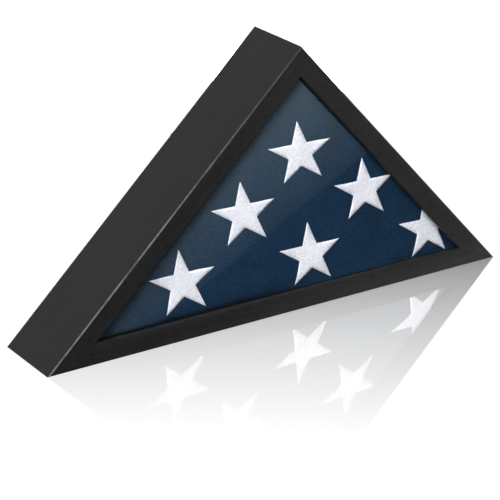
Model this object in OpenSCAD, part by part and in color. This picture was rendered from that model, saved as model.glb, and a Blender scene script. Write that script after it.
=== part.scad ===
// Display case for one triangular folded flag.
// X runs across the case, the front faces -Y and Z is up. The origin is the middle of the face it stands on.

/* [Case] */
// Width of the case along its base
case_w = 648; // [560:1:720]
// Depth of the case from front to back
case_d = 90; // [78:1:120]
// Angle between the base and each sloping side
base_angle = 45; // [43:1:47]

/* [Rails] */
// Thickness of the rail's wall
wall_t = 13; // [12:0.5:18]
// Width of the face round the window
lip_w = 25; // [21:1:34]
// Thickness of the lip in front of the pane
lip_t = 6; // [4:0.5:12]
// Radius of the eased outer front edge
outer_ease = 2; // [0.5:0.1:3]
// Radius of the eased front edge round the window
sight_ease = 1.6; // [0.5:0.1:3]
// Radius of the other eased edges
inner_ease = 0.8; // [0.3:0.1:1.5]
// Width of the glue line in a mitre
glue_gap = 0.1; // [0.05:0.05:0.2]

/* [Glazing and liner] */
// Thickness of the clear pane
pane_t = 2; // [1.5:0.5:4]
// Space round the edge of the pane
pane_play = 0.6; // [0.3:0.1:1.5]
// Length nipped off each pointed corner of the pane and the back panel
corner_nip = 7; // [4:0.5:14]
// Thickness of the liner boards
liner_t = 2.5; // [2:0.5:5]
// Space between a liner board and the wall
liner_play = 0.2; // [0.1:0.05:0.5]

/* [Back] */
// Thickness of the back panel
panel_t = 3; // [2:0.5:5]
// Space round the edge of the back panel
panel_play = 0.6; // [0.3:0.1:1.5]
// How far the back panel lies below the rails' back edge
panel_set = 0.2; // [0.1:0.1:1]
// Thickness of the felt on the inside of the back panel
felt_t = 1.2; // [0.5:0.1:3]
// Border of the back panel that the felt leaves bare
felt_border = 5; // [4:0.5:12]

/* [Flag] */
// Thickness of the folded flag
flag_t = 66; // [40:1:90]
// Space between the flag and the liner boards
flag_play = 0.3; // [0.2:0.1:3]
// Space between the flag's front and the pane
flag_front_play = 1; // [0.8:0.1:3]
// Number of folds that lie on each other
flag_folds = 11; // [6:1:13]
// Radius of the flag's pointed corners
flag_corner_r = 5; // [3:0.5:12]
// Depth of the groove between two folds
fold_groove = 1.6; // [0.6:0.1:3]
// Centre to point of a star
star_r = 44; // [30:0.5:50]
// Distance between stars in the lowest row
star_pitch = 180; // [120:1:190]
// How much closer the stars stand in each higher row
star_draw = 5; // [0:0.5:8]
// Height of one row of stars above the next
star_rise = 65.5; // [50:0.5:80]
// Sideways lean of the cloth for each millimetre of height
star_lean = 0.165; // [0:0.005:0.2]
// Fall of a row of stars for each millimetre across
star_slope = 0.02; // [0:0.005:0.05]
// Height of the lowest row of stars
star_row_z = 63; // [60:1:80]
// Place of the lowest row's middle star
star_row_x = 33; // [-40:1:60]
// Thickness of a sewn star
star_t = 0.4; // [0.2:0.1:0.6]

/* [Turn buttons] */
// Radius of a turn button at its screw
button_r = 4.6; // [3.8:0.1:5.5]
// Radius of a turn button at its tip
button_tip_r = 3.2; // [2:0.1:4]
// Distance from the screw to the centre of the tip
button_reach = 15; // [13:0.5:22]
// Thickness of a turn button
button_t = 1.2; // [0.8:0.1:2]
// Space under a turn button
button_play = 0.15; // [0.1:0.05:0.3]
// Distance from the apex to the upper buttons, along the side
button_upper_s = 78; // [70:1:100]
// Distance from each foot of the case to the lower buttons, along the side
button_foot = 158; // [130:1:200]
// Distance from the middle of the base to each of its buttons
button_base_x = 150; // [80:1:200]

/* [Hangers] */
// Distance from the apex to each hanger ring's pivot, along the side
hanger_s = 150; // [130:1:200]
// Radius of the ring's wire
wire_r = 0.9; // [0.7:0.05:1]
// Length of the ring's straight legs
ring_leg = 4; // [3:0.5:8]
// Thickness of the hanger strap
strap_t = 1; // [0.6:0.1:1.5]
// Width of the hanger strap
strap_w = 6.6; // [5:0.2:7]
// Space between the ring's wire and the strap's curl
curl_play = 0.1; // [0.05:0.05:0.2]

/* [Fasteners] */
// Radius of a screw's shank
screw_r = 1.4; // [1:0.1:1.8]
// Length of a screw's shank in the wood
screw_grip = 11; // [8:0.5:16]
// Radius of a screw's head
head_r = 2.8; // [2.4:0.1:3.4]
// Height of a screw's head
head_h = 1.6; // [1.2:0.1:2.4]
// Space round a screw's shank in the metal that it holds
screw_play = 0.1; // [0.05:0.05:0.2]
// Length of each leg of a V-nail
nail_leg = 4.5; // [3:0.5:5.5]
// Thickness of a V-nail
nail_t = 0.6; // [0.4:0.1:1]
// Depth that a V-nail is driven to
nail_depth = 9; // [6:0.5:14]

/* [Hidden] */

$fn = 48;
eps = 0.01;
half_w = case_w / 2;
case_h = half_w * tan(base_angle);
side_len = half_w / cos(base_angle);
foot_half = base_angle / 2;      // half the angle of a base corner
apex_half = 90 - base_angle;     // half the angle at the apex
front_y = -case_d / 2;
back_y = case_d / 2;
pane_y = front_y + lip_t;
liner_y = pane_y + pane_t;
panel_y = back_y - panel_set - panel_t;
liner_in = wall_t + liner_play + liner_t;  // from the outside of a rail to the bare side of its liner
flag_in = liner_in + flag_play;
flag_y = liner_y + flag_front_play;
fold_t = flag_t / flag_folds;
fold_crown = 0.7;                // share of a fold's thickness that reaches the flag's outline
star_row_lift = 3.5;             // how far the middle row of stars is drawn above its even place
button_lower_s = side_len - button_foot;
land = wall_t / 2;               // middle of a rail's back edge
ring_side_play = 0.2;            // between a ring and each edge of the rail
ring_half = wall_t / 2 - ring_side_play - wire_r;
curl_r = wire_r + curl_play;
pivot_h = curl_r + strap_t;      // height of a ring's pivot above the rail's back
ring_end = ring_leg + ring_half + wire_r;
ring_head_gap = 0.6;             // between the ring's far end and the strap's screw
strap_screw = ring_end + ring_head_gap + head_r;
strap_end = 1;                   // strap left beyond the screw's head
strap_len = strap_screw + head_r + strap_end;
boss_r = head_r + 0.4;           // raised seat under the screw's head
boss_h = 0.4;
recess_w = 0.6;                  // cross recess in a screw's head
recess_reach = head_r * 0.55;
recess_floor = head_h * 0.35;
dome_r = head_r * 1.6;
pilot_play = 0.02;
pilot_spare = 0.5;               // depth of a pilot hole past its screw's tip
nail_play = 0.02;
ease_steps = 5;
arc_steps = 12;

black_wood = [0.05, 0.05, 0.052];
black_board = [0.07, 0.07, 0.07];
black_felt = [0.04, 0.04, 0.045];
clear_pane = [0.75, 0.85, 0.88, 0.35];
navy_cloth = [0.05, 0.1, 0.2];
white_cloth = [0.9, 0.9, 0.92];
bright_steel = [0.72, 0.72, 0.73];

// Corners of the triangle that lies "inset" inside the outside of the case, anticlockwise from the left foot.
function triangle_at(inset) = [
    [-half_w + inset / tan(foot_half), inset],
    [half_w - inset / tan(foot_half), inset],
    [0, case_h - inset / cos(base_angle)]];

function unit(v) = v / norm(v);

// Corner p between a and b, as the arc of radius r that touches both sides, or as itself when r is 0.
function eased(a, p, b, r) =
    let (to_a = unit(a - p), to_b = unit(b - p), half = acos(to_a * to_b) / 2)
    r == 0 ? [p] :
    let (
        centre = p + unit(to_a + to_b) * r / sin(half),
        from = p + to_a * r / tan(half) - centre,
        turn = 180 - 2 * half,
        way = (to_a.x * to_b.y - to_a.y * to_b.x) > 0 ? -1 : 1)
    [for (i = [0:ease_steps])
        let (t = way * turn * i / ease_steps)
        centre + [from.x * cos(t) - from.y * sin(t), from.x * sin(t) + from.y * cos(t)]];

// An outline whose corner i is eased with the radius radii[i].
function eased_outline(points, radii) =
    let (n = len(points))
    [for (i = [0:n - 1]) each eased(points[(i + n - 1) % n], points[i], points[(i + 1) % n], radii[i])];

// A triangle at "inset" whose three corners are cut off, "nip" along each side.
function nipped_triangle(inset, nip) =
    let (t = triangle_at(inset))
    [for (i = [0:2])
        let (p = t[i], before = t[(i + 2) % 3], after = t[(i + 1) % 3])
        each [p + unit(before - p) * nip, p + unit(after - p) * nip]];

// Moves a piece from a rail's own frame to its place. There x runs along the outside, z is the distance in
// from it, and the rails follow each other anticlockwise: base, right, left.
module on_base() { translate([-half_w, 0, 0]) children(); }
module on_right() { translate([half_w, 0, 0]) rotate([0, base_angle - 180, 0]) children(); }
module on_left() { translate([0, 0, case_h]) rotate([0, -base_angle - 180, 0]) children(); }

// Extrudes an outline drawn in X and Z from y = 0 to y = t.
module upright(t) { translate([0, t, 0]) rotate([90, 0, 0]) linear_extrude(t) children(); }

// What lies between two mitres of a rail of length len, from z = z0 to z = z1.
module mitred(len, start_half, end_half, z0, z1) {
    gap0 = glue_gap / 2 / sin(start_half);
    gap1 = glue_gap / 2 / sin(end_half);
    translate([0, front_y - 1, 0]) upright(case_d + 2)
        polygon([
            [gap0 + z0 / tan(start_half), z0],
            [len - gap1 - z0 / tan(end_half), z0],
            [len - gap1 - z1 / tan(end_half), z1],
            [gap0 + z1 / tan(start_half), z1]]);
}

// The rail's section: a deep wall with a lip at the front, drawn with depth along x and "in" along y.
module rail_section() {
    polygon(eased_outline(
        [[front_y, 0], [back_y, 0], [back_y, wall_t], [pane_y, wall_t], [pane_y, lip_w], [front_y, lip_w]],
        [outer_ease, inner_ease, 0, 0, inner_ease, sight_ease]));
}

module rail(len, start_half, end_half) {
    intersection() {
        rotate([90, 0, 90]) linear_extrude(len) rail_section();
        mitred(len, start_half, end_half, 0, lip_w);
    }
}

module pilot_hole(x) {
    translate([x, back_y + eps, land]) rotate([90, 0, 0]) cylinder(h = screw_grip + pilot_spare, r = screw_r + pilot_play);
}

module base_rail() {
    color(black_wood) difference() {
        on_base() difference() {
            rail(case_w, foot_half, foot_half);
            for (side = [-1, 1]) pilot_hole(half_w + side * button_base_x);
        }
        corner_nails(nail_play);
    }
}

module left_rail() {
    color(black_wood) difference() {
        on_left() difference() {
            rail(side_len, apex_half, foot_half);
            for (s = [button_upper_s, button_lower_s, hanger_s + strap_screw]) pilot_hole(s);
        }
        corner_nails(nail_play);
    }
}

module right_rail() {
    color(black_wood) difference() {
        on_right() difference() {
            rail(side_len, foot_half, apex_half);
            for (s = [button_upper_s, button_lower_s, hanger_s + strap_screw]) pilot_hole(side_len - s);
        }
        corner_nails(nail_play);
    }
}

module glazing_pane() {
    color(clear_pane) translate([0, pane_y, 0]) upright(pane_t)
        polygon(nipped_triangle(wall_t + pane_play, corner_nip));
}

// A liner board along a rail's wall, from the pane to the back panel.
module liner(len, start_half, end_half) {
    intersection() {
        translate([0, liner_y, wall_t + liner_play]) cube([len, panel_y - liner_y, liner_t]);
        mitred(len, start_half, end_half, wall_t, liner_in);
    }
}

module base_liner() { color(black_board) on_base() liner(case_w, foot_half, foot_half); }
module left_liner() { color(black_board) on_left() liner(side_len, apex_half, foot_half); }
module right_liner() { color(black_board) on_right() liner(side_len, foot_half, apex_half); }

module flag_outline(inset) {
    polygon(eased_outline(triangle_at(inset), [for (i = [0:2]) flag_corner_r]));
}

// The folded cloth: the folds lie on each other, with a groove between each two along the sides.
module folded_flag() {
    color(navy_cloth) translate([0, flag_y, 0]) {
        upright(flag_t) flag_outline(flag_in + fold_groove);
        for (i = [0:flag_folds - 1])
            translate([0, (i + (1 - fold_crown) / 2) * fold_t, 0]) upright(fold_t * fold_crown)
                flag_outline(flag_in);
    }
}

// A five-pointed star, drawn on cloth that leans sideways as it rises and falls a little across.
module star() {
    inner_r = star_r * sin(18) / sin(54);
    polygon([for (i = [0:9])
        let (r = i % 2 == 0 ? star_r : inner_r, a = 90 + i * 36)
        [r * cos(a) - star_lean * r * sin(a), r * sin(a) - star_slope * r * cos(a)]]);
}

// The centre of a star: rows and places in a row are counted from 0 at the lower left.
function star_place(row, i) =
    let (across = (i - 1 + row / 2) * (star_pitch - row * star_draw))
    [star_row_x + across - star_lean * row * star_rise,
        star_row_z + row * star_rise + (row == 1 ? star_row_lift : 0) - star_slope * across];

module flag_stars() {
    color(white_cloth) translate([0, flag_y - star_t, 0]) upright(star_t) intersection() {
        for (row = [0:2], i = [0:2 - row]) translate(star_place(row, i)) star();
        flag_outline(flag_in + fold_groove);
    }
}

module back_panel() {
    color(black_board) translate([0, panel_y, 0]) upright(panel_t)
        polygon(nipped_triangle(wall_t + panel_play, corner_nip));
}

module panel_felt() {
    color(black_felt) translate([0, panel_y - felt_t, 0]) upright(felt_t)
        polygon(nipped_triangle(wall_t + panel_play + felt_border, corner_nip));
}

// Points along an arc round [x, 0] from angle a0 to angle a1.
function arc(x, r, a0, a1) = [for (i = [0:arc_steps])
    let (a = a0 + (a1 - a0) * i / arc_steps)
    [x + r * cos(a), r * sin(a)]];

// A turn button at x along its rail, turned so that it lies along the rail.
module turn_button(x, way) {
    tangent = acos((button_r - button_tip_r) / button_reach);
    outline = concat(
        arc(0, button_r, tangent, 360 - tangent),
        arc(button_reach, button_tip_r, -tangent, tangent));
    color(bright_steel) translate([x, back_y + button_play, land]) difference() {
        union() {
            upright(button_t) polygon([for (p = outline) [way * p.x, p.y]]);
            upright(button_t + boss_h) circle(r = boss_r);
        }
        translate([0, -eps, 0]) upright(button_t + boss_h + 2 * eps) circle(r = screw_r + screw_play);
    }
}

// A domed screw whose head sits at height h above the back of a rail, at x along the rail.
module screw(x, h) {
    translate([x, back_y + h, land]) rotate([-90, 0, 0]) difference() {
        rotate_extrude() {
            intersection() {
                translate([0, head_h - dome_r]) circle(r = dome_r);
                square([head_r, head_h]);
            }
            translate([0, -h - screw_grip]) square([screw_r, h + screw_grip + eps]);
        }
        for (turn = [0, 90]) rotate([0, 0, turn])
            translate([-recess_reach, -recess_w / 2, recess_floor]) cube([2 * recess_reach, recess_w, head_h]);
    }
}

module turn_button_screws() {
    h = 2 * button_play + button_t + boss_h;
    color(bright_steel) {
        on_base() for (side = [-1, 1]) screw(half_w + side * button_base_x, h);
        on_left() for (s = [button_upper_s, button_lower_s]) screw(s, h);
        on_right() for (s = [button_upper_s, button_lower_s]) screw(side_len - s, h);
    }
}

// A strap with a curl for the ring, its pivot at x = 0 and its tail along +x.
module hanger_strap() {
    color(bright_steel) translate([0, back_y, land]) difference() {
        union() {
            translate([0, 0, -strap_w / 2]) cube([strap_len - strap_w / 2, strap_t, strap_w]);
            translate([strap_len - strap_w / 2, 0, 0]) upright(strap_t) circle(d = strap_w);
            translate([0, pivot_h, -strap_w / 2]) cylinder(h = strap_w, r = pivot_h);
        }
        translate([0, pivot_h, -strap_w / 2 - eps]) cylinder(h = strap_w + 2 * eps, r = curl_r);
        translate([strap_screw, -eps, 0]) upright(strap_t + 2 * eps) circle(r = screw_r + screw_play);
    }
}

// A D-shaped wire ring that hangs from its pivot over the strap's tail.
module hanger_ring() {
    color(bright_steel) translate([0, back_y + pivot_h, land]) {
        translate([0, 0, -ring_half]) cylinder(h = 2 * ring_half, r = wire_r);
        for (side = [-1, 1]) translate([0, 0, side * ring_half]) {
            sphere(r = wire_r);
            rotate([0, 90, 0]) cylinder(h = ring_leg, r = wire_r);
        }
        translate([ring_leg, 0, 0]) rotate([90, 0, 0]) rotate([0, 0, -90])
            rotate_extrude(angle = 180) translate([ring_half, 0]) circle(r = wire_r);
    }
}

// Places a hanger part at its pivot, with +x of the part running down the rail.
module at_left_hanger() { on_left() translate([hanger_s, 0, 0]) children(); }
module at_right_hanger() { mirror([1, 0, 0]) at_left_hanger() children(); }

module hanger_screws() {
    color(bright_steel) {
        at_left_hanger() screw(strap_screw, strap_t);
        at_right_hanger() screw(strap_screw, strap_t);
    }
}

// A V-nail driven across a mitre, its legs spread along x by 45 degrees each.
module v_nail(grow) {
    for (side = [-1, 1]) rotate([0, side * 45, 0])
        translate([-grow, -nail_depth - grow, -nail_t / 2 - grow])
            cube([nail_leg + 2 * grow, nail_depth + grow + (grow > 0 ? 1 : 0), nail_t + 2 * grow]);
}

module corner_nails(grow) {
    mid = triangle_at(land);
    translate([mid[0].x, back_y, mid[0].y]) rotate([0, -foot_half, 0]) v_nail(grow);
    translate([mid[1].x, back_y, mid[1].y]) rotate([0, foot_half - 180, 0]) v_nail(grow);
    translate([mid[2].x, back_y, mid[2].y]) rotate([0, 90, 0]) v_nail(grow);
}

module corner_v_nails() { color(bright_steel) corner_nails(0); }

base_rail();
left_rail();
right_rail();
glazing_pane();
base_liner();
left_liner();
right_liner();
folded_flag();
flag_stars();
back_panel();
panel_felt();
on_left() turn_button(button_upper_s, 1);  // turn_button_left_upper
on_left() turn_button(button_lower_s, -1);  // turn_button_left_lower
on_right() turn_button(side_len - button_upper_s, -1);  // turn_button_right_upper
on_right() turn_button(side_len - button_lower_s, 1);  // turn_button_right_lower
on_base() turn_button(half_w - button_base_x, 1);  // turn_button_base_left
on_base() turn_button(half_w + button_base_x, -1);  // turn_button_base_right
turn_button_screws();
at_left_hanger() hanger_strap();  // hanger_strap_left
at_right_hanger() hanger_strap();  // hanger_strap_right
at_left_hanger() hanger_ring();  // hanger_ring_left
at_right_hanger() hanger_ring();  // hanger_ring_right
hanger_screws();
corner_v_nails();
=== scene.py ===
"""Dresses a triangular display case that holds a folded flag, and sets it in a plain studio."""

import logging
import math
from dataclasses import dataclass, field
from enum import Enum
from typing import Any, Callable, Iterable

import bmesh
import bpy
from bmesh.types import BMesh, BMVert
from bpy.types import Material, Mesh, Node, NodeTree, Object
from mathutils import Matrix, Vector, noise
from mathutils.bvhtree import BVHTree


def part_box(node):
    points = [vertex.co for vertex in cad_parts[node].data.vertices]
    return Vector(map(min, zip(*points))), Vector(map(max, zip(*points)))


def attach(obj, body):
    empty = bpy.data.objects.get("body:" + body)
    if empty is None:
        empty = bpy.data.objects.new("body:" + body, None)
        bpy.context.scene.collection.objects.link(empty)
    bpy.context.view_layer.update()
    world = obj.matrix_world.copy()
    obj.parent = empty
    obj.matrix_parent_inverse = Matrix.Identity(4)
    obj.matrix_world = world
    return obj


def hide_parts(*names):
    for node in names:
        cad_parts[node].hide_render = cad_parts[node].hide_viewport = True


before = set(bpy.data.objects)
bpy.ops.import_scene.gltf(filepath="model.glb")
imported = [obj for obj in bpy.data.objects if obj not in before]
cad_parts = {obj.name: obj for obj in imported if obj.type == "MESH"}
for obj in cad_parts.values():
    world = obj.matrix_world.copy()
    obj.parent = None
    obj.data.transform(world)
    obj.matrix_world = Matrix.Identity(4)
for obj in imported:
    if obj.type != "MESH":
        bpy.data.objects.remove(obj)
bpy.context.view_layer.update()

LOG = logging.getLogger("flag_case")
Socket = bpy.types.NodeSocket
Colour = tuple[float, float, float, float]
Pair = tuple[float, float]
Triple = tuple[float, float, float]
# two values of what is mapped, and the result at each
Ramp = tuple[float, float, float, float]
WHITE: Colour = (1.0, 1.0, 1.0, 1.0)
# half the case's width and depth, and how far the outside of a sloping rail lies from the middle of its foot
HALF_W, HALF_D, SLOPE_OUT = 0.324, 0.045, 0.2291
# the angle of the case's two lower corners, and between two arms of a star
CORNER_DEG, ARM_DEG = 45.0, 72.0
# places nearer to each other than this are the same
SAME = 1e-6


class Rail(Enum):
    """The three rails: the turn about Y and the shift that lay each along +X, its outside at z = 0."""

    BASE = (0.0, HALF_W, 0.0)
    LEFT = (180.0 + CORNER_DEG, SLOPE_OUT, SLOPE_OUT)
    RIGHT = (180.0 - CORNER_DEG, SLOPE_OUT, SLOPE_OUT)


class Steel(Enum):
    """How a metal fitting was made, with the stretch of its fine scratches."""

    PRESSED = (1.0, 1.0, 12.0)
    DRAWN = (1.0, 1.0, 1.0)


class Graph:
    """Adds nodes to one node tree and joins them."""

    def __init__(self, tree: NodeTree) -> None:
        """Starts from an empty tree."""
        self.tree = tree
        tree.nodes.clear()

    def add(self, kind: str, inputs: dict[Any, Any] | None = None, **settings: Any) -> Node:
        """Adds a node, sets its properties and fills its inputs.

        Args:
            kind: the node's type name.
            inputs: a value or an output socket for each named or numbered input.
            settings: properties of the node.

        Returns:
            The new node.
        """
        made = self.tree.nodes.new(kind)
        for name, value in settings.items():
            setattr(made, name, value)
        for name, value in (inputs or {}).items():
            if isinstance(value, Socket):
                self.tree.links.new(value, made.inputs[name])
            else:
                made.inputs[name].default_value = value
        return made

    def math(self, operation: str, *values: Any, clamp: bool = False) -> Socket:
        """Adds a Math node, with a number or a socket for each of its inputs."""
        made = self.add("ShaderNodeMath", dict(enumerate(values)), operation=operation, use_clamp=clamp)
        return made.outputs[0]

    def noise(self, vector: Socket, scale: Any, detail: float, roughness: float) -> Socket:
        """Reads a Noise texture: its features per metre, and the number and strength of finer layers."""
        inputs = {"Vector": vector, "Scale": scale, "Detail": detail, "Roughness": roughness}
        return self.add("ShaderNodeTexNoise", inputs).outputs[0]

    def ramp(self, value: Any, low: float, high: float, to_low: float = 0.0, to_high: float = 1.0) -> Socket:
        """Maps a value smoothly, from to_low where it is low to to_high where it is high."""
        inputs = {"Value": value, "From Min": low, "From Max": high, "To Min": to_low, "To Max": to_high}
        return self.add("ShaderNodeMapRange", inputs, interpolation_type="SMOOTHSTEP").outputs[0]

    # a Mix node has sockets of the same name for numbers and for colours, so they go by number

    def mix(self, share: Any, low: Any, high: Any) -> Socket:
        """Mixes two numbers, by the share of the second."""
        return self.add("ShaderNodeMix", {0: share, 2: low, 3: high}).outputs[0]

    def blend(self, share: Any, low: Any, high: Any) -> Socket:
        """Mixes two colours, by the share of the second."""
        return self.add("ShaderNodeMix", {0: share, 6: low, 7: high}, data_type="RGBA").outputs[2]

    def stretch(self, vector: Socket, factors: Triple) -> Socket:
        """Multiplies a vector by a factor for each axis."""
        return self.add("ShaderNodeVectorMath", {0: vector, 1: factors}, operation="MULTIPLY").outputs[0]

    def split(self, vector: Socket) -> list[Socket]:
        """Takes a vector's x, y and z."""
        return list(self.add("ShaderNodeSeparateXYZ", {0: vector}).outputs)

    def group(self, tree: NodeTree, inputs: dict[str, Any]) -> bpy.types.bpy_prop_collection:
        """Adds a node group and gives its outputs, by name."""
        return self.add("ShaderNodeGroup", inputs, node_tree=tree).outputs

    def bump(self, height: Socket, strength: float, depth: float) -> Socket:
        """Turns a height into a normal, where a height of 1 is as many metres as the depth."""
        inputs = {"Height": height, "Strength": strength, "Distance": depth}
        return self.add("ShaderNodeBump", inputs).outputs[0]

    def principled(self, inputs: dict[str, Any]) -> Socket:
        """Adds a Principled shader."""
        return self.add("ShaderNodeBsdfPrincipled", inputs).outputs[0]

    def show(self, shader: Socket) -> None:
        """Gives the material its surface."""
        self.add("ShaderNodeOutputMaterial", {"Surface": shader})


class GroupGraph(Graph):
    """A node group that is being built."""

    def __init__(self, name: str, inputs: dict[str, float | None]) -> None:
        """Makes the group with its inputs.

        Args:
            name: the group's name.
            inputs: each input's default number, or None for a vector.
        """
        tree = bpy.data.node_groups.new(name, "ShaderNodeTree")
        for label, value in inputs.items():
            kind = "NodeSocketVector" if value is None else "NodeSocketFloat"
            socket = tree.interface.new_socket(name=label, in_out="INPUT", socket_type=kind)
            if value is not None:
                socket.default_value = value
        super().__init__(tree)
        self.given = self.add("NodeGroupInput").outputs

    def close(self, outputs: dict[str, Socket]) -> NodeTree:
        """Ends the group with its outputs.

        Args:
            outputs: the socket that each output takes its number from.

        Returns:
            The group.
        """
        for label in outputs:
            self.tree.interface.new_socket(name=label, in_out="OUTPUT", socket_type="NodeSocketFloat")
        self.add("NodeGroupOutput", outputs)
        return self.tree


@dataclass
class Effects:
    """The node groups that more than one material uses."""

    figure_stretch: Triple = (0.09, 1.0, 1.0)
    pore_stretch: Triple = (0.16, 1.0, 1.0)
    figure_height: float = 0.35
    slub_stretches: tuple[Triple, Triple] = ((0.45, 1.0, 1.0), (1.0, 1.0, 0.45))
    thread_height: float = 0.35
    cloud_scale: float = 22.0
    edge_patch_scale: float = 34.0
    least_edge_patch: float = 0.25
    grain: NodeTree = field(init=False)
    weave: NodeTree = field(init=False)
    smudge: NodeTree = field(init=False)
    arris: NodeTree = field(init=False)

    def __post_init__(self) -> None:
        """Builds each group once."""
        self.grain, self.weave = self.wood_grain(), self.plain_weave()
        self.smudge, self.arris = self.handling_marks(), self.edge_masks()

    def wood_grain(self) -> NodeTree:
        """Wood figure and pores that run along X.

        Returns:
            The group.
        """
        g = GroupGraph("wood_grain", {"Vector": None, "Figure scale": 120.0, "Pore scale": 620.0})
        figure = g.stretch(g.given["Vector"], self.figure_stretch)
        pores = g.stretch(g.given["Vector"], self.pore_stretch)
        figure = g.noise(figure, g.given["Figure scale"], detail=5.0, roughness=0.62)
        pores = g.noise(pores, g.given["Pore scale"], detail=2.0, roughness=0.5)
        figure, pores = g.ramp(figure, low=0.3, high=0.72), g.ramp(pores, low=0.54, high=0.68)
        height = g.math("SUBTRACT", g.math("MULTIPLY", figure, self.figure_height), pores)
        return g.close({"Figure": figure, "Pores": pores, "Height": height})

    def plain_weave(self) -> NodeTree:
        """Plain weave in the XZ plane, with slubs and soft unevenness.

        Returns:
            The group.
        """
        g = GroupGraph("plain_weave", {"Vector": None, "Threads per metre": 1500.0, "Slub scale": 760.0})
        x, _, z = g.split(g.given["Vector"])
        turns = g.math("MULTIPLY", g.given["Threads per metre"], math.pi)
        warp, weft = (g.math("SINE", g.math("MULTIPLY", way, turns)) for way in (x, z))
        over = g.math("MULTIPLY", g.math("MULTIPLY", warp, weft), self.thread_height)
        slubs = [g.noise(g.stretch(g.given["Vector"], way), g.given["Slub scale"], detail=2.0, roughness=0.6)
                 for way in self.slub_stretches]
        slub = g.math("MULTIPLY", g.math("ADD", *slubs), 1 / len(slubs))
        cloud = g.noise(g.given["Vector"], self.cloud_scale, detail=3.0, roughness=0.6)
        return g.close({"Height": g.math("ADD", over, slub), "Slub": g.ramp(slub, low=0.38, high=0.62),
                        "Cloud": g.ramp(cloud, low=0.3, high=0.7)})

    def handling_marks(self) -> NodeTree:
        """Faint handling marks that roughen a smooth surface.

        Returns:
            The group.
        """
        g = GroupGraph("smudge", {"Vector": None, "Scale": 14.0, "Clean": 0.3, "Soiled": 0.4})
        marks = g.noise(g.given["Vector"], g.given["Scale"], detail=6.0, roughness=0.7)
        spread = g.math("SUBTRACT", g.given["Soiled"], g.given["Clean"])
        soiling = g.math("MULTIPLY", g.ramp(marks, low=0.42, high=0.7), spread)
        return g.close({"Roughness": g.math("ADD", g.given["Clean"], soiling)})

    def edge_masks(self) -> NodeTree:
        """Finds a rail's edges and outer side, where its wear, a painted highlight and painted shade go, from
        a place with x along it, y back from its face and z in.

        Returns:
            The group.
        """
        g = GroupGraph("arris", {"Vector": None, "Face width": 0.025, "Depth": 2 * HALF_D, "Reach": 0.0016})
        _, y, z = g.split(g.given["Vector"])
        patches = g.noise(g.given["Vector"], self.edge_patch_scale, detail=6.0, roughness=0.75)
        patchy = g.ramp(patches, low=0.36, high=0.6, to_low=self.least_edge_patch)
        sight = g.math("ABSOLUTE", g.math("SUBTRACT", g.given["Face width"], z))
        back = g.math("ABSOLUTE", g.math("SUBTRACT", g.given["Depth"], y))
        outside, front = g.math("ABSOLUTE", z), g.math("ABSOLUTE", y)
        found = {"Side": g.math("MULTIPLY", g.ramp(outside, low=0.0004, high=0.0012, to_low=1.0, to_high=0.0),
                                g.ramp(front, low=0.001, high=0.003))}
        for label, one, other in (("Outer", outside, front), ("Inner", sight, front),
                                  ("Back", outside, back)):
            away = g.math("DIVIDE", g.math("ADD", one, other), g.given["Reach"])
            near = g.ramp(away, low=0.75, high=1.15, to_low=1.0, to_high=0.0)
            found[label] = g.math("MULTIPLY", near, patchy)
        return g.close(found)


def start_material(name: str) -> tuple[Material, Graph, Socket]:
    """Makes an empty material.

    Args:
        name: the material's name.

    Returns:
        The material, its graph and a socket with the surface's Object coordinates.
    """
    material = bpy.data.materials.new(name)
    material.use_nodes = True
    graph = Graph(material.node_tree)
    return material, graph, graph.add("ShaderNodeTexCoord").outputs["Object"]


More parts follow.
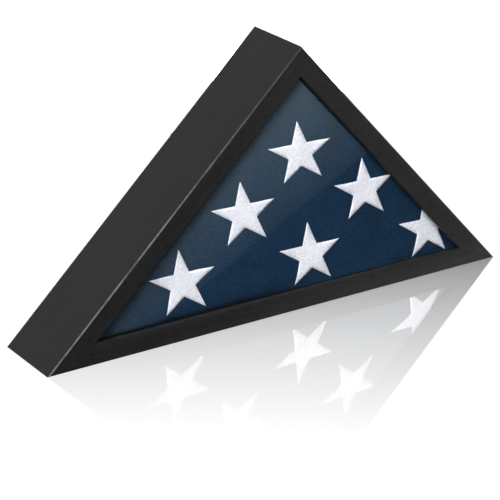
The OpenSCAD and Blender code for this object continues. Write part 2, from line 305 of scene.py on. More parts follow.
@dataclass(frozen=True)
class BlackWood:
    """Black stained moulding with its open grain still showing, its edges rubbed and partly lightened by a
    painted highlight, and painted shade on its sight edge and outer side.
    """

    deep: Colour = (0.0122, 0.0122, 0.0124, 1.0)
    worn: Colour = (0.0182, 0.018, 0.018, 1.0)
    pore_and_shade: Colour = (0.006, 0.006, 0.006, 1.0)
    # the colour of its rubbed edges, also used as a painted highlight on the outer front edge
    rubbed_and_highlight: Colour = (0.15, 0.148, 0.145, 1.0)
    # how much each rail's outer edge is rubbed and lightened by a painted highlight, by the place along it
    rub_and_highlight: dict[Rail, Ramp] = field(default_factory=lambda: {
        Rail.BASE: (0.22, 0.36, 0.05, 0.05),
        Rail.LEFT: (0.02, 0.3, 0.22, 1.0),
        Rail.RIGHT: (0.22, 0.36, 0.0, 0.8)})
    back_rub: float = 0.05
    # painted shade: the sight edge and the outer side are darkened toward the pore colour
    sight_painted_shade: float = 0.8
    side_painted_shade: float = 0.55
    specular: float = 0.17
    roughness: float = 0.46
    soiling: float = 0.08
    burnished: float = 0.38
    relief: Pair = (0.3, 0.0002)

    def material(self, effects: Effects, rail: Rail) -> Material:
        """Builds the finish for one rail, with the grain along it.

        Args:
            effects: the shared node groups.
            rail: the rail that it covers.

        Returns:
            The material.
        """
        made, g, place = start_material(f"black_wood_{rail.name.lower()}")
        turn, along, inward = rail.value
        run = g.add("ShaderNodeMapping", {"Vector": place, "Location": (along, HALF_D, inward),
                                          "Rotation": (0.0, math.radians(turn), 0.0)}).outputs[0]
        grain = g.group(effects.grain, {"Vector": run})
        arris = g.group(effects.arris, {"Vector": run})
        smudge = g.group(effects.smudge, {"Vector": place, "Clean": self.roughness,
                                          "Soiled": self.roughness + self.soiling})
        # the outer front edge takes the rubbed colour: partly wear, partly a painted highlight, strongest on
        # the left rail
        outer = g.math("MULTIPLY", arris["Outer"], g.ramp(g.split(run)[0], *self.rub_and_highlight[rail]))
        wear_and_highlight = g.math("ADD", outer, g.math("MULTIPLY", arris["Back"], self.back_rub), clamp=True)
        stain_and_shade = g.blend(grain["Figure"], self.deep, self.worn)
        # pores, then painted shade on the sight edge and on the outer side
        for share in (grain["Pores"], g.math("MULTIPLY", arris["Inner"], self.sight_painted_shade),
                      g.math("MULTIPLY", arris["Side"], self.side_painted_shade)):
            stain_and_shade = g.blend(share, stain_and_shade, self.pore_and_shade)
        g.show(g.principled({
            "Base Color": g.blend(wear_and_highlight, stain_and_shade, self.rubbed_and_highlight), "Specular IOR Level": self.specular,
            "Roughness": g.mix(wear_and_highlight, smudge["Roughness"], self.burnished),
            "Normal": g.bump(grain["Height"], *self.relief)}))
        return made


@dataclass(frozen=True)
class HardBoard:
    """Dark fibre board, as the liners and the back panel are cut from."""

    name: str
    face: Colour
    fleck: Colour
    roughness: float = 0.62
    soiling: float = 0.15
    specular: float = 0.3
    fibre_scale: float = 900.0
    relief: Pair = (0.2, 0.0002)

    def material(self, effects: Effects) -> Material:
        """Builds the finish.

        Args:
            effects: the shared node groups.

        Returns:
            The material.
        """
        made, g, place = start_material(self.name)
        fibres = g.ramp(g.noise(place, self.fibre_scale, detail=4.0, roughness=0.75), low=0.35, high=0.75)
        smudge = g.group(effects.smudge, {"Vector": place, "Clean": self.roughness,
                                          "Soiled": self.roughness + self.soiling})
        g.show(g.principled({
            "Base Color": g.blend(fibres, self.face, self.fleck), "Specular IOR Level": self.specular,
            "Roughness": smudge["Roughness"], "Normal": g.bump(fibres, *self.relief)}))
        return made


@dataclass(frozen=True)
class ClearPane:
    """Clear glazing that lets the light onto the flag."""

    index: float = 1.5
    tint: Colour = (0.985, 0.995, 0.99, 1.0)

    def material(self) -> Material:
        """Builds the finish.

        Returns:
            The material.
        """
        made, g, _ = start_material("clear_pane")
        glass = g.principled({"Base Color": self.tint, "Roughness": 0.0, "IOR": self.index,
                              "Transmission Weight": 1.0})
        open_way = g.add("ShaderNodeBsdfTransparent", {"Color": self.tint}).outputs[0]
        shadow = g.add("ShaderNodeLightPath").outputs["Is Shadow Ray"]
        g.show(g.add("ShaderNodeMixShader", {0: shadow, 1: glass, 2: open_way}).outputs[0])
        return made


@dataclass(frozen=True)
class NavyCloth:
    """Deep navy flag cloth in a plain weave."""

    deep: Colour = (0.0011, 0.0106, 0.027, 1.0)
    light: Colour = (0.009, 0.0316, 0.0715, 1.0)
    slub_share: float = 0.75
    cloud_share: float = 0.25
    roughness: float = 0.8
    specular: float = 0.08
    sheen: float = 0.03
    sheen_roughness: float = 0.45
    sheen_tint: Colour = (0.25, 0.42, 0.72, 1.0)
    relief: Pair = (0.45, 0.0003)

    def material(self, effects: Effects) -> Material:
        """Builds the finish.

        Args:
            effects: the shared node groups.

        Returns:
            The material.
        """
        made, g, place = start_material("navy_cloth")
        weave = g.group(effects.weave, {"Vector": place})
        share = g.math("ADD", g.math("MULTIPLY", weave["Slub"], self.slub_share),
                       g.math("MULTIPLY", weave["Cloud"], self.cloud_share), clamp=True)
        g.show(g.principled({
            "Base Color": g.blend(share, self.deep, self.light), "Roughness": self.roughness,
            "Specular IOR Level": self.specular, "Sheen Weight": self.sheen,
            "Sheen Roughness": self.sheen_roughness, "Sheen Tint": self.sheen_tint,
            "Normal": g.bump(weave["Height"], *self.relief)}))
        return made


@dataclass(frozen=True)
class StarThread:
    """White embroidery thread, stitched along each arm."""

    bright: Colour = (0.81, 0.8, 0.865, 1.0)
    shaded: Colour = (0.623, 0.617, 0.684, 1.0)
    stitches: float = 1600.0
    stitch_height: float = 0.5
    slub_scale: float = 700.0
    roughness: float = 0.5
    specular: float = 0.4
    sheen: float = 0.15
    sheen_roughness: float = 0.3
    relief: Pair = (0.35, 0.0002)

    def material(self, effects: Effects) -> Material:
        """Builds the finish.

        Args:
            effects: the shared node groups.

        Returns:
            The material.
        """
        made, g, place = start_material("star_thread")
        across = g.split(g.add("ShaderNodeUVMap", {}, uv_map="thread").outputs[0])[1]
        stitch = g.math("SINE", g.math("MULTIPLY", across, 2 * math.pi * self.stitches))
        slub = g.group(effects.weave, {"Vector": place, "Slub scale": self.slub_scale})["Slub"]
        height = g.math("ADD", g.math("MULTIPLY", stitch, self.stitch_height), slub)
        g.show(g.principled({
            "Base Color": g.blend(slub, self.bright, self.shaded), "Roughness": self.roughness,
            "Specular IOR Level": self.specular, "Sheen Weight": self.sheen,
            "Sheen Roughness": self.sheen_roughness, "Normal": g.bump(height, *self.relief)}))
        return made


@dataclass(frozen=True)
class BlackFelt:
    """Short black felt with loose fibres."""

    deep: Colour = (0.006, 0.006, 0.007, 1.0)
    light: Colour = (0.03, 0.03, 0.034, 1.0)
    fibre_scale: float = 1500.0
    tuft_scale: float = 160.0
    roughness: float = 0.95
    specular: float = 0.1
    sheen: float = 0.5
    sheen_roughness: float = 0.5
    sheen_tint: Colour = (0.5, 0.5, 0.55, 1.0)
    relief: Pair = (0.6, 0.0005)

    def material(self) -> Material:
        """Builds the finish.

        Returns:
            The material.
        """
        made, g, place = start_material("black_felt")
        fibres = g.noise(place, self.fibre_scale, detail=5.0, roughness=0.8)
        tufts = g.noise(place, self.tuft_scale, detail=4.0, roughness=0.7)
        share = g.ramp(g.math("MULTIPLY", fibres, tufts), low=0.12, high=0.42)
        g.show(g.principled({
            "Base Color": g.blend(share, self.deep, self.light), "Roughness": self.roughness,
            "Specular IOR Level": self.specular, "Sheen Weight": self.sheen,
            "Sheen Roughness": self.sheen_roughness, "Sheen Tint": self.sheen_tint,
            "Normal": g.bump(fibres, *self.relief)}))
        return made


@dataclass(frozen=True)
class BrightSteel:
    """Nickel-plated steel fittings."""

    kind: Steel
    colour: Colour = (0.56, 0.55, 0.53, 1.0)
    dull: Colour = (0.34, 0.33, 0.31, 1.0)
    scratch_scale: float = 900.0
    tarnish_scale: float = 180.0
    smudge_scale: float = 220.0
    clean: float = 0.24
    soiled: float = 0.42
    relief: Pair = (0.12, 0.00005)

    def material(self, effects: Effects) -> Material:
        """Builds the finish.

        Args:
            effects: the shared node groups.

        Returns:
            The material.
        """
        made, g, place = start_material(f"steel_{self.kind.name.lower()}")
        streaks = g.stretch(place, self.kind.value)
        scratches = g.noise(streaks, self.scratch_scale, detail=4.0, roughness=0.7)
        tarnish = g.noise(place, self.tarnish_scale, detail=5.0, roughness=0.65)
        smudge = g.group(effects.smudge, {"Vector": place, "Scale": self.smudge_scale, "Clean": self.clean,
                                          "Soiled": self.soiled})
        g.show(g.principled({
            "Base Color": g.blend(g.ramp(tarnish, low=0.45, high=0.75), self.colour, self.dull),
            "Metallic": 1.0, "Roughness": smudge["Roughness"], "Normal": g.bump(scratches, *self.relief)}))
        return made


def dress(names: Iterable[str], material: Material) -> None:
    """Puts a finish on carried-over nodes.

    Args:
        names: the nodes' names.
        material: the finish.
    """
    for name in names:
        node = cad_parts[name]
        node.data.materials.clear()
        node.data.materials.append(material)
        LOG.info("%s: %s", name, material.name)


def new_piece(name: str, mesh: Mesh, material: Material) -> Object:
    """Makes a mesh an object at the origin.

    Args:
        name: the piece's name.
        mesh: its mesh.
        material: its finish.

    Returns:
        The object.
    """
    mesh.materials.clear()
    mesh.materials.append(material)
    piece = bpy.data.objects.new(name, mesh)
    bpy.context.scene.collection.objects.link(piece)
    LOG.info("%s: %d faces", name, len(mesh.polygons))
    return piece


@dataclass
class CaseFrame:
    """The three rails, the pane and the liner boards."""

    wood: BlackWood = BlackWood()
    board: HardBoard = HardBoard("liner_board", (0.008, 0.008, 0.008, 1.0), (0.02, 0.019, 0.018, 1.0))
    pane: ClearPane = ClearPane()

    def build(self, effects: Effects) -> None:
        """Dresses the rails, the pane and the liner boards.

        Args:
            effects: the shared node groups.
        """
        for rail in Rail:
            dress([f"{rail.name.lower()}_rail"], self.wood.material(effects, rail))
        dress([f"{rail.name.lower()}_liner" for rail in Rail], self.board.material(effects))
        dress(["glazing_pane"], self.pane.material())


@dataclass
class CaseBack:
    """The back panel with its felt."""

    board: HardBoard = HardBoard("back_board", (0.016, 0.0155, 0.015, 1.0), (0.036, 0.034, 0.032, 1.0),
                                 roughness=0.5)
    felt: BlackFelt = BlackFelt()

    def build(self, effects: Effects) -> None:
        """Dresses the back panel.

        Args:
            effects: the shared node groups.
        """
        dress(["back_panel"], self.board.material(effects))
        dress(["panel_felt"], self.felt.material())


@dataclass
class Fittings:
    """The turn buttons, hangers, screws and nails on the back."""

    pressed: BrightSteel = BrightSteel(Steel.PRESSED)
    drawn: BrightSteel = BrightSteel(Steel.DRAWN)

    def build(self, effects: Effects) -> None:
        """Dresses the fittings.

        Args:
            effects: the shared node groups.
        """
        wire = [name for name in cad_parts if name.startswith("hanger_ring")]
        flat = [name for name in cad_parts
                if name.startswith(("turn_button", "hanger_strap", "hanger_screws", "corner_v"))]
        dress(flat, self.pressed.material(effects))
        dress(wire, self.drawn.material(effects))


def from_bmesh(bm: BMesh, name: str) -> Mesh:
    """Turns a bmesh into a mesh and frees it.

    Args:
        bm: the bmesh.
        name: the mesh's name.

    Returns:
        The mesh.
    """
    mesh = bpy.data.meshes.new(name)
    bm.to_mesh(mesh)
    bm.free()
    return mesh


def elements(bm: BMesh) -> list[Any]:
    """All of a bmesh's points, edges and faces, as a cut takes them."""
    return list(bm.verts) + list(bm.edges) + list(bm.faces)


def in_order(bm: BMesh) -> None:
    """Sorts edges and faces by their places, as an extrusion leaves them in another order each run.

    Args:
        bm: the bmesh, changed in place.
    """
    for items in (bm.edges, bm.faces):
        placed = sorted(items, key=lambda item: tuple(sum((vert.co for vert in item.verts), Vector())))
        for number, item in enumerate(placed):
            item.index = number
        items.sort()


def slab(outline: list[Vector], thickness: float, corner: float, rim: float) -> BMesh:
    """A flat closed piece with rounded corners and soft rims.

    Args:
        outline: its corners, all at its front's y.
        thickness: how far it reaches back.
        corner: radius of its corners.
        rim: radius of its rims.

    Returns:
        The slab's bmesh.
    """
    bm = bmesh.new()
    bm.faces.new([bm.verts.new(point) for point in outline])
    bmesh.ops.bevel(bm, geom=list(bm.verts), offset=corner, segments=4, profile=0.5, affect="VERTICES",
                    material=-1)
    front = outline[0].y
    grown = bmesh.ops.extrude_face_region(bm, geom=list(bm.faces))
    moved = [item for item in grown["geom"] if isinstance(item, BMVert)]
    bmesh.ops.translate(bm, verts=moved, vec=(0, thickness, 0))
    bmesh.ops.recalc_face_normals(bm, faces=bm.faces)
    rims = [edge for edge in bm.edges if abs(edge.verts[0].co.y - edge.verts[1].co.y) < SAME
            and min(abs(edge.verts[0].co.y - front), abs(edge.verts[0].co.y - front - thickness)) < SAME]
    bmesh.ops.bevel(bm, geom=rims, offset=rim, segments=3, profile=0.5, affect="EDGES", material=-1)
    return bm


def evaluated(piece: Object) -> Mesh:
    """The mesh that an object's modifiers leave."""
    return bpy.data.meshes.new_from_object(piece.evaluated_get(bpy.context.evaluated_depsgraph_get()))


@dataclass(frozen=True)
class Settling:
    """How a cloth-covered form finds its folds: a new even mesh, a slight crumple and a slack cloth."""

    voxel: float = 0.004
    slack: float = 0.002
    crumple: float = 0.0002
    crumple_scale: float = 45.0
    frames: int = 24
    quality: int = 6
    mass: float = 0.15
    bending: float = 0.4
    gravity: float = 0.15
    smoothings: int = 4
    smooth_share: float = 0.5

    def settle(self, mesh: Mesh, free: Callable[[Vector], bool], limits: Pair) -> Mesh:
        """Args:
            mesh: the closed form.
            free: tells whether a point may move.
            limits: the least and the greatest y that the free part may reach.

        Returns:
            The settled mesh.
        """
        form = bpy.data.objects.new("settling", mesh)
        bpy.context.scene.collection.objects.link(form)
        remesh = form.modifiers.new("remesh", "REMESH")
        remesh.mode, remesh.voxel_size = "VOXEL", self.voxel
        settled = evaluated(form)
        form.modifiers.clear()
        form.data = settled
        rest = [vert.co.copy() for vert in settled.vertices]
        for vert in settled.vertices:
            if free(vert.co):
                vert.co.y += self.crumple * noise.noise(vert.co * self.crumple_scale)
        held = form.vertex_groups.new(name="held")
        held.add([vert.index for vert in settled.vertices if not free(rest[vert.index])], 1.0, "REPLACE")
        self.simulate(form)
        bm = bmesh.new()
        bm.from_mesh(settled)
        loose = [vert for vert in bm.verts if free(rest[vert.index])]
        for vert in loose:
            vert.co.y = min(max(vert.co.y, limits[0]), limits[1])
        for _ in range(self.smoothings):
            bmesh.ops.smooth_vert(bm, verts=loose, factor=self.smooth_share, use_axis_y=True)
        bm.to_mesh(settled)
        bm.free()
        bpy.data.objects.remove(form)
        return settled

    def simulate(self, form: Object) -> None:
        """Runs the cloth simulation and keeps its last step as the form's mesh.

        Args:
            form: the form, with its held points in a group.
        """
        cloth = form.modifiers.new("cloth", "CLOTH")
        cloth.settings.quality = self.quality
        cloth.settings.mass = self.mass
        cloth.settings.bending_stiffness = self.bending
        cloth.settings.shrink_min = -self.slack
        cloth.settings.vertex_group_mass = "held"
        cloth.settings.effector_weights.gravity = self.gravity
        cloth.point_cache.frame_start, cloth.point_cache.frame_end = 1, self.frames
        for step in range(1, self.frames + 1):
            bpy.context.scene.frame_set(step)
        moved = evaluated(form)
        form.modifiers.clear()
        bpy.context.scene.frame_set(1)
        for vert, new in zip(form.data.vertices, moved.vertices):
            vert.co = new.co


@dataclass
class FoldedFlag:
    """A flag folded to a triangle, with the stars of its field to the front."""

    corner: float = 0.006
    layer_gap: float = 0.0002
    # the front fold, and the part of its face that may settle
    front_t: float = 0.0085
    front_play: float = 0.003
    front_inset: float = 0.004
    front_rim: float = 0.0008
    front_fill: float = 0.8
    free_depth: float = 0.002
    free_inset: float = 0.012
    settled_range: Pair = (-0.0006, 0.0012)
    # its rolled edge, which grows shallower over a turn at the middle of the flag
    roll_reach: float = 0.019
    roll_depth: float = 0.007
    roll_ease: float = 0.85
    roll_turn: float = 0.06
    # the folds behind it, each drawn in a little differently
    core_folds: int = 9
    rim: float = 0.0016
    drift: float = 0.0006
    drift_sway: float = 0.0005
    drift_turn: float = 2.4
    core_fill: float = 0.9
    # the two flaps at the back
    flap_t: float = 0.0016
    flap_inset: float = 0.0012
    flap_corner: float = 0.004
    flap_rim_share: float = 0.42
    flap_tip: float = 0.002
    pocket_foot: float = 0.035
    pocket_head: float = 0.012
    tuck_foot: float = 0.07
    tuck_head: float = 0.045
    cloth: NavyCloth = NavyCloth()
    settling: Settling = Settling()
    half_w: float = field(init=False)
    floor: float = field(init=False)

    def __post_init__(self) -> None:
        """Takes the outline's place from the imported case."""
        low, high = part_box("base_rail")
        self.half_w = high.x
        self.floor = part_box("folded_flag")[0].z - low.z

    def corners(self, inset: float, y: float) -> list[Vector]:
        """Corners of a triangle inside the flag's outline.

        Args:
            inset: its distance inside the outline.
            y: its place from front to back.

        Returns:
            The left, right and top corner.
        """
        inside = self.floor + inset
        reach = self.half_w - inside / math.tan(math.radians(CORNER_DEG / 2))
        return [Vector((-reach, y, inside)), Vector((reach, y, inside)),
                Vector((0.0, y, self.half_w - inside * math.sqrt(2)))]

    def edge_distance(self, point: Vector) -> float:
        """How far a point lies inside the flag's outline.

        Args:
            point: the point.

        Returns:
            The distance, which is negative outside it.
        """
        left, _, top = self.corners(0.0, 0.0)
        side = (top.z - point.z - abs(point.x)) / math.sqrt(2)
        return min(point.z - left.z, side)

    def front_fold(self) -> Mesh:
        """The front fold: a thin pillow of cloth whose face has settled against the pane.

        Returns:
            Its mesh.
        """
        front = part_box("folded_flag")[0].y + self.front_play
        form = slab(self.corners(self.front_inset, front), self.front_t, self.corner, self.front_rim)
        settled = self.settling.settle(
            from_bmesh(form, "front_fold_form"),
            lambda place: place.y < front + self.free_depth and self.edge_distance(place) > self.free_inset,
            (front + self.settled_range[0], front + self.settled_range[1]))
        for vert in settled.vertices:
            inside = self.edge_distance(vert.co) - self.front_inset
            share = 1.0 - min(max(inside, 0.0) / self.roll_reach, 1.0)
            aside = min(max((vert.co.x + self.roll_turn) / (2 * self.roll_turn), 0.0), 1.0)
            depth = self.roll_depth * (1.0 - self.roll_ease * aside * aside * (3.0 - 2.0 * aside))
            fall = depth * (1.0 - math.sqrt(1.0 - share * share))
            vert.co.y += fall * min(max((front + self.front_t - vert.co.y) / self.front_t, 0.0), 1.0)
        return settled

    def core(self, front: float, back: float) -> BMesh:
        """The folds behind the front one, laid on each other.

        Args:
            front: the y where they start.
            back: the y where they end.

        Returns:
            Their bmesh.
        """
        thickness = (back - front) / self.core_folds
        whole = bmesh.new()
        for index in range(self.core_folds):
            inset = self.drift + self.drift_sway * math.sin(index * self.drift_turn)
            part = from_bmesh(slab(self.corners(inset, front + index * thickness), thickness, self.corner,
                                   self.rim), "fold")
            whole.from_mesh(part)
            bpy.data.meshes.remove(part)
        return whole

    def flaps(self, back: float) -> dict[str, tuple[BMesh, float]]:
        """The pocket and the tuck at the back of the folded flag.

        Args:
            back: the y of the flag's back.

        Returns:
            Each flap's bmesh and its flat area, by name.
        """
        left, right, top = self.corners(self.flap_inset, 0.0)
        foot = Vector((self.pocket_foot, 0.0, left.z))
        head = Vector((self.pocket_head, 0.0, top.z - self.pocket_head))
        under = [Vector((foot.x - self.tuck_foot, 0.0, foot.z)), right,
                 top + Vector((0.0, 0.0, -self.flap_tip)),
                 Vector((head.x - self.tuck_head, 0.0, head.z - self.tuck_head))]
        over = [left, foot, head, top + Vector((-self.flap_tip, 0.0, -self.flap_tip))]
        made = {}
        for name, outline, y in (("flag_tuck", under, back - 2 * self.flap_t),
                                 ("flag_pocket", over, back - self.flap_t)):
            area = 0.0
            for one, other in zip(outline, outline[1:] + outline[:1]):
                area += (one.x * other.z - other.x * one.z) / 2
            points = [Vector((point.x, y, point.z)) for point in outline]
            flap = slab(points, self.flap_t, self.flap_corner, self.flap_t * self.flap_rim_share)
            made[name] = (flap, abs(area))
        return made

    def build(self, effects: Effects) -> Object:
        """Builds the flag.

        Args:
            effects: the shared node groups.

        Returns:
            The front fold, which the stars are sewn to.
        """
        cloth = self.cloth.material(effects)
        low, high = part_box("folded_flag")
        core_front = low.y + self.front_play + self.front_t + self.layer_gap
        core_back = high.y - 2 * self.flap_t - self.layer_gap
        front = new_piece("flag_front_fold", self.front_fold(), cloth)
        smooth = front.modifiers.new("smooth", "SUBSURF")
        smooth.levels = smooth.render_levels = 1
        for face in front.data.polygons:
            face.use_smooth = True
        core = new_piece("flag_core", from_bmesh(self.core(core_front, core_back), "flag_core"), cloth)
        for piece, fill in ((front, self.front_fill), (core, self.core_fill)):
            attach(piece, "case")
            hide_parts("folded_flag")
        for name, (bm, area) in self.flaps(high.y).items():
            flap = new_piece(name, from_bmesh(bm, name), cloth)
            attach(flap, "case")
            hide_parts("folded_flag")
        return front


@dataclass
class SewnStars:
    """White stars sewn to the front fold, each with a satin-stitched border."""

    # the rows: the middle star's place, the pitch and its loss for each row, the rise and the cloth's lean
    row_x: float = 0.0371
    row_z: float = 0.0617
    rows: int = 3
    pitch: float = 0.18
    draw: float = 0.005
    rise: float = 0.0653
    lift: float = 0.0035
    lean: float = 0.178
    slope: float = 0.02
    # a star's outline, and how the cloth spreads and shortens it
    radius: float = 0.044
    arms: int = 5
    spread: float = 1.05
    squash: float = 0.985
    squash_step: float = 0.035
    # its stitching
    border: float = 0.0021
    border_steps: Triple = (0.0005, 0.0009, 0.0008)
    rim_height: float = 0.0002
    stitch_height: float = 0.00018
    ridge_slope: float = 0.055
    ridge_height: float = 0.0003
    # the thread's run: how far it slants from the arm, and how far its map lies from the border's
    thread_slant: float = 0.55
    thread_shift: float = 0.1
    # how it is cut into small faces, dropped onto the cloth and ended at the flag's edge
    thickness: float = 0.0005
    mesh_step: float = 0.004
    mesh_shift: float = 0.37
    mesh_reach: float = 1.2
    edge_play: float = 0.0015
    drop_y: float = -0.2
    thread: StarThread = StarThread()

    def place(self, row: int, index: int) -> Vector:
        """The centre of a star.

        Args:
            row: its row, counted from the lowest.
            index: its place in the row, from the left.

        Returns:
            The centre, at y = 0.
        """
        across = (index - 1 + row / 2) * (self.pitch - row * self.draw)
        raised = self.lift if row == 1 else 0.0
        return Vector((self.row_x + across - self.lean * row * self.rise, 0.0,
                       self.row_z + row * self.rise + raised - self.slope * across))

    def outline(self, row: int) -> list[Vector]:
        """The ten corners of a star about its centre, in XZ.

        Args:
            row: its row, counted from the lowest, as the cloth leans back more in each higher one.

        Returns:
            The corners.
        """
        tip = ARM_DEG / 4
        waist = self.radius * math.sin(math.radians(tip)) / math.sin(math.radians(3 * tip))
        rise = self.squash - row * self.squash_step
        points = []
        for index in range(2 * self.arms):
            radius = waist if index % 2 else self.radius
            turn = math.radians(90 + ARM_DEG / 2 * index)
            across, up = self.spread * radius * math.cos(turn), rise * radius * math.sin(turn)
            points.append(Vector((across - self.lean * up, 0.0, up - self.slope * across)))
        return points

    def star(self, row: int, index: int, cloth: BVHTree, flag: FoldedFlag) -> BMesh:
        """One star, laid on the cloth.

        Args:
            row: its row, counted from the lowest.
            index: its place in the row, from the left.
            cloth: the front fold's surface.
            flag: the flag that it is sewn to.

        Returns:
            The star's bmesh.
        """
        corners, centre = self.outline(row), self.place(row, index)
        bm = bmesh.new()
        face = bm.faces.new([bm.verts.new(corner) for corner in corners])
        inner = [face]
        for width in self.border_steps:
            bmesh.ops.inset_region(bm, faces=inner, thickness=width, use_even_offset=True)
        bmesh.ops.poke(bm, faces=inner)
        self.grid(bm)
        self.stitch(bm, corners)
        bmesh.ops.translate(bm, verts=bm.verts, vec=centre)
        self.clip(bm, flag)
        for vert in bm.verts:
            hit = cloth.ray_cast(Vector((vert.co.x, self.drop_y, vert.co.z)), Vector((0.0, 1.0, 0.0)))[0]
            vert.co.y += hit.y
        grown = bmesh.ops.extrude_face_region(bm, geom=list(bm.faces))
        sunk = [item for item in grown["geom"] if isinstance(item, BMVert)]
        bmesh.ops.translate(bm, verts=sunk, vec=(0, self.thickness, 0))
        bmesh.ops.recalc_face_normals(bm, faces=bm.faces)
        in_order(bm)
        return bm

    def stitch(self, bm: BMesh, corners: list[Vector]) -> None:
        """Raises a star's border and arms, and maps its thread: round the border, and along each arm.

        Args:
            bm: the star, about its centre.
            corners: its ten corners.
        """
        rims = list(zip(corners, corners[1:] + corners[:1]))
        layer = bm.loops.layers.uv.new("thread")
        place = {}
        for vert in bm.verts:
            away, along = min((self.to_segment(vert.co, one, other), number)
                              for number, (one, other) in enumerate(rims))
            step = (vert.co - rims[along][0]).dot((rims[along][1] - rims[along][0]).normalized())
            turn = math.degrees(math.atan2(vert.co.z, vert.co.x)) - 90
            axis = corners[2 * (round((turn % 360) / ARM_DEG) % self.arms)].normalized()
            up = vert.co.dot(axis)
            aside = (vert.co - axis * up).length
            if away < self.border:
                place[vert] = (step, away)
                height = self.stitch_height * math.sin(away / self.border * math.pi)
            else:
                place[vert] = (up + self.thread_slant * aside, aside + self.thread_shift)
                height = min(self.ridge_slope * (away - self.border), self.ridge_height)
            vert.co.y = -self.rim_height - height
        for one in bm.faces:
            one.smooth = True
            for loop in one.loops:
                loop[layer].uv = place[loop.vert]

    def grid(self, bm: BMesh) -> None:
        """Cuts a star into small faces, so that it can follow the cloth.

        Args:
            bm: the star, about its centre.
        """
        count = math.ceil(self.mesh_reach * self.radius / self.mesh_step)
        for index in range(-count, count + 1):
            for normal in ((1.0, 0.0, 0.0), (0.0, 0.0, 1.0)):
                cut = Vector(normal) * (index + self.mesh_shift) * self.mesh_step
                bmesh.ops.bisect_plane(bm, geom=elements(bm), plane_co=cut, plane_no=normal)
        bmesh.ops.triangulate(bm, faces=list(bm.faces))

    @staticmethod
    def to_segment(point: Vector, one: Vector, other: Vector) -> float:
        """Distance from a point to a line between two others.

        Args:
            point: the point.
            one: the line's start.
            other: the line's end.

        Returns:
            The distance.
        """
        share = min(max((point - one).dot(other - one) / (other - one).length_squared, 0.0), 1.0)
        return (point - one - (other - one) * share).length

    def clip(self, bm: BMesh, flag: FoldedFlag) -> None:
        """Cuts a star off where the cloth turns round the flag's edge.

        Args:
            bm: the star.
            flag: the flag that it is sewn to.
        """
        left, right, top = flag.corners(flag.front_inset + self.edge_play, 0.0)
        for one, other in ((left, right), (right, top), (top, left)):
            run = other - one
            outward = Vector((run.z, 0.0, -run.x))
            bmesh.ops.bisect_plane(bm, geom=elements(bm), plane_co=one, plane_no=outward, clear_outer=True)

    def build(self, effects: Effects, front: Object, flag: FoldedFlag) -> None:
        """Builds the stars.

        Args:
            effects: the shared node groups.
            front: the front fold.
            flag: the flag that it belongs to.
        """
        bpy.context.view_layer.update()
        cloth = BVHTree.FromObject(front, bpy.context.evaluated_depsgraph_get())
        whole = bmesh.new()
        for row in range(self.rows):
            for index in range(self.rows - row):
                part = from_bmesh(self.star(row, index, cloth, flag), "star")
                whole.from_mesh(part)
                bpy.data.meshes.remove(part)
        stars = new_piece("sewn_stars", from_bmesh(whole, "sewn_stars"), self.thread.material(effects))
        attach(stars, "case")
        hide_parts("flag_stars")


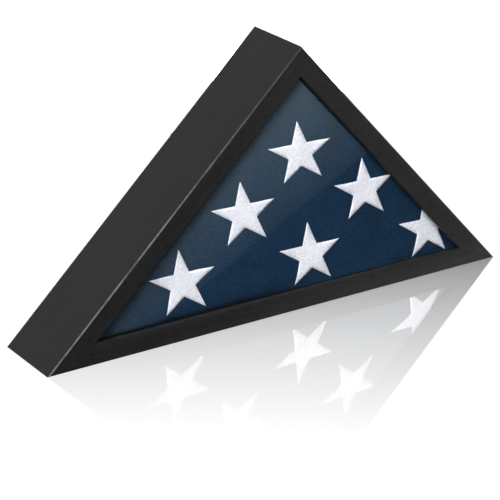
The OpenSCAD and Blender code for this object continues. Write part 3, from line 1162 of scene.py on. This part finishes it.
@dataclass(frozen=True)
class StudioFloor:
    """A large pale floor, polished near the case, which glossy rays see as a glowing pattern that paints the
    pane's glare and the reflections in the pane and the rails.
    """

    half_size: float = 30.0
    grey: Colour = (0.14, 0.14, 0.14, 1.0)
    matte: float = 0.9
    # the polish grows along one way of the floor, and ends about a metre from the case
    polish_x: float = 0.602
    polish_y: float = 0.799
    polish_slope: float = 1.44
    polish_middle: float = 0.5
    polish_most: float = 0.72
    polish_end: Pair = (0.45, 1.1)
    polish_roughness: float = 0.015
    # the glow by its distance from the case, and the share of it that lights other things
    glow: Ramp = (0.5, 1.6, 0.87, 1.03)
    glow_share: float = 0.25
    # the glowing patch that paints the pane's glare: its near edge, how its paleness grows beyond it, and its
    # tint
    card_x: float = 0.495
    card_y: float = -0.87
    card_start: float = 0.148
    card_edge: Pair = (-0.004, 0.004)
    pale_slope: float = 2.6
    pale_start: float = 0.1
    pale_most: float = 0.66
    dark: float = 0.015
    glare: Colour = (0.83, 1.0, 1.0, 1.0)
    # glowing strips that paint reflections, placed by where the pane's plane mirrors them to the camera
    pane_y: float = -0.039
    left_strip: Ramp = (0.258, 0.2876, 1.0, 0.12)
    right_strip: Ramp = (0.293, 0.312, 0.0, 0.9)
    foot_low: Pair = (-0.002, 0.0)
    foot_top: Ramp = (0.018, 0.024, 1.0, 0.0)
    foot_run: Ramp = (-0.25, 0.28, 0.0, 1.1)
    # a glowing strip behind the case, by its y, painted into the reflections
    behind_strip: Ramp = (-0.02, 0.1, 0.0, 0.85)

    def surface(self, g: Graph, place: Socket, x: Socket, y: Socket) -> Socket:
        """Builds what most rays see: a matte glow that turns to polish near the case.

        Args:
            g: the floor's graph.
            place: a place on the floor.
            x: its x.
            y: its y.

        Returns:
            The shader's socket.
        """
        across = g.math("ADD", g.math("MULTIPLY", x, self.polish_x), g.math("MULTIPLY", y, self.polish_y))
        rising = g.math("ADD", g.math("MULTIPLY", across, self.polish_slope), self.polish_middle, clamp=True)
        away = g.add("ShaderNodeVectorMath", {0: place}, operation="LENGTH").outputs["Value"]
        polish = g.math("MULTIPLY", g.math("MINIMUM", rising, self.polish_most),
                        g.ramp(away, *self.polish_end, to_low=1.0, to_high=0.0))
        seen = g.add("ShaderNodeLightPath").outputs["Is Camera Ray"]
        share = g.math("ADD", g.math("MULTIPLY", seen, 1.0 - self.glow_share), self.glow_share)
        glow = g.math("MULTIPLY", g.ramp(away, *self.glow), share)
        matte = g.principled({"Base Color": self.grey, "Roughness": self.matte, "Specular IOR Level": 0.0,
                              "Emission Color": WHITE, "Emission Strength": glow})
        polished = g.principled({"Base Color": WHITE, "Metallic": 1.0, "Roughness": self.polish_roughness})
        return g.add("ShaderNodeMixShader", {0: polish, 1: matte, 2: polished}).outputs[0]

    def painted_reflection(self, g: Graph, x: Socket, y: Socket, eye: Vector) -> Socket:
        """Builds the painted reflection that the pane and the rails mirror: dark close in front of the case,
        paler further off.

        Args:
            g: the floor's graph.
            x: the x of a place on the floor.
            y: its y.
            eye: the camera's place.

        Returns:
            The shader's socket.
        """
        start = g.math("ADD", g.math("MULTIPLY", x, self.card_x), self.card_start)
        beyond = g.math("SUBTRACT", g.math("MULTIPLY", y, self.card_y), start)
        pale = g.math("ADD", g.math("MULTIPLY", beyond, self.pale_slope), self.pale_start)
        card = g.math("MULTIPLY", g.math("MINIMUM", pale, self.pale_most), g.ramp(beyond, *self.card_edge))
        # where the pane's plane would mirror the place to the camera
        gap = eye.y - self.pane_y
        reach = g.math("DIVIDE", gap, g.math("ADD", y, eye.y - 2 * self.pane_y))
        pane_x = g.math("MULTIPLY_ADD", g.math("SUBTRACT", x, eye.x), reach, eye.x)
        pane_z = g.math("MULTIPLY", g.math("SUBTRACT", 1.0, reach), eye.z)
        left = g.ramp(g.math("SUBTRACT", pane_z, pane_x), *self.left_strip)
        right = g.ramp(g.math("ADD", pane_x, pane_z), *self.right_strip)
        foot = g.math("MULTIPLY", g.ramp(pane_z, *self.foot_top),
                      g.math("MULTIPLY", g.ramp(pane_z, *self.foot_low), g.ramp(pane_x, *self.foot_run)))
        behind = g.ramp(y, *self.behind_strip)
        glare = g.add("ShaderNodeEmission", {
            "Color": self.glare, "Strength": g.math("ADD", g.math("MULTIPLY", card, left), self.dark)})
        plain = g.add("ShaderNodeEmission", {
            "Strength": g.math("MAXIMUM", g.math("MAXIMUM", foot, right), behind)})
        return g.add("ShaderNodeAddShader", {0: glare.outputs[0], 1: plain.outputs[0]}).outputs[0]

    def build(self, eye: Vector) -> None:
        """Lays the floor.

        Args:
            eye: the camera's place.
        """
        bm = bmesh.new()
        bmesh.ops.create_grid(bm, x_segments=1, y_segments=1, size=self.half_size)
        made, g, place = start_material("studio_floor")
        x, y, _ = g.split(place)
        # glossy rays see the painted reflection, all other rays the floor
        glossy = g.add("ShaderNodeLightPath").outputs["Is Glossy Ray"]
        mixed = g.add("ShaderNodeMixShader", {0: glossy, 1: self.surface(g, place, x, y),
                                              2: self.painted_reflection(g, x, y, eye)})
        g.show(mixed.outputs[0])
        new_piece("studio_floor", from_bmesh(bm, "studio_floor"), made)


@dataclass(frozen=True)
class SoftBox:
    """A rectangular light: where it hangs, what it faces, its size in metres and its power in watts."""

    name: str
    place: Triple
    aim: Triple
    size: Pair
    power: float

    def build(self) -> None:
        """Hangs the light."""
        data = bpy.data.lights.new(self.name, "AREA")
        data.shape = "RECTANGLE"
        data.size, data.size_y = self.size
        data.energy = self.power
        light = bpy.data.objects.new(self.name, data)
        light.location = self.place
        light.rotation_euler = (Vector(self.aim) - Vector(self.place)).to_track_quat("-Z", "Y").to_euler()
        light.visible_camera = False
        bpy.context.scene.collection.objects.link(light)


@dataclass
class Studio:
    """A plain pale floor, soft light and the camera."""

    focal_px: float = 1941.0
    picture_px: float = 500.0
    sensor_mm: float = 36.0
    azimuth: float = 36.69
    elevation: float = 23.0
    roll: float = 2.43
    target: Triple = (-0.0599, -0.045, 0.0929)
    distance: float = 2.201
    clip_range: Pair = (0.05, 80.0)
    sky: float = 0.25
    mirrored_sky: float = 1.0
    backdrop: float = 1.05
    floor: StudioFloor = StudioFloor()
    # the last two reach only the back and the right-hand rail
    lights: tuple[SoftBox, ...] = (
        SoftBox("key", (-2.81, -2.03, 2.96), (0.0, 0.0, 0.15), (1.75, 1.75), 206.0),
        SoftBox("rear", (2.3, 2.3, 0.4), (0.0, 0.0, 0.12), (1.4, 0.8), 100.0),
        SoftBox("right", (3.0, 0.5, 1.3), (0.0, 0.0, 0.15), (1.4, 1.4), 55.0))

    def ahead(self) -> Vector:
        """The direction that the camera looks in."""
        az, el = math.radians(self.azimuth), math.radians(self.elevation)
        return Vector((math.sin(az) * math.cos(el), math.cos(az) * math.cos(el), -math.sin(el)))

    def eye(self) -> Vector:
        """The camera's place."""
        return Vector(self.target) - self.distance * self.ahead()

    def camera(self) -> None:
        """Sets the camera at the case's left front."""
        az, roll = math.radians(self.azimuth), math.radians(self.roll)
        ahead = self.ahead()
        right = Vector((math.cos(az), -math.sin(az), 0.0))
        up = right.cross(ahead)
        tilted = math.cos(roll) * right + math.sin(roll) * up
        upright = -math.sin(roll) * right + math.cos(roll) * up
        data = bpy.data.cameras.new("camera")
        data.sensor_width = self.sensor_mm
        data.lens = self.focal_px * self.sensor_mm / self.picture_px
        data.clip_start, data.clip_end = self.clip_range
        camera = bpy.data.objects.new("camera", data)
        turn = Matrix((tilted, upright, -ahead)).transposed().to_4x4()
        camera.matrix_world = Matrix.Translation(self.eye()) @ turn
        bpy.context.scene.collection.objects.link(camera)
        bpy.context.scene.camera = camera

    def world(self) -> None:
        """Surrounds the scene with soft white light, stronger where the camera or a mirror sees it."""
        world = bpy.data.worlds.new("studio")
        world.use_nodes = True
        g = Graph(world.node_tree)
        path = g.add("ShaderNodeLightPath").outputs
        seen = g.math("MULTIPLY", path["Is Camera Ray"], self.backdrop - self.sky)
        mirrored = g.math("MULTIPLY", path["Is Glossy Ray"], self.mirrored_sky - self.sky)
        strength = g.math("ADD", self.sky, g.math("ADD", seen, mirrored))
        light = g.add("ShaderNodeBackground", {"Color": WHITE, "Strength": strength})
        g.add("ShaderNodeOutputWorld", {"Surface": light.outputs[0]})
        bpy.context.scene.world = world

    def build(self) -> None:
        """Builds the studio."""
        self.camera()
        self.floor.build(self.eye())
        self.world()
        for light in self.lights:
            light.build()


def main() -> None:
    """Builds every part of the case and its studio."""
    logging.basicConfig(level=logging.INFO, format="%(name)s: %(message)s")
    bpy.context.scene.view_settings.view_transform = "Standard"
    effects = Effects()
    Studio().build()
    CaseFrame().build(effects)
    CaseBack().build(effects)
    Fittings().build(effects)
    flag = FoldedFlag()
    SewnStars().build(effects, flag.build(effects), flag)


if __name__ == "__main__":
    main()
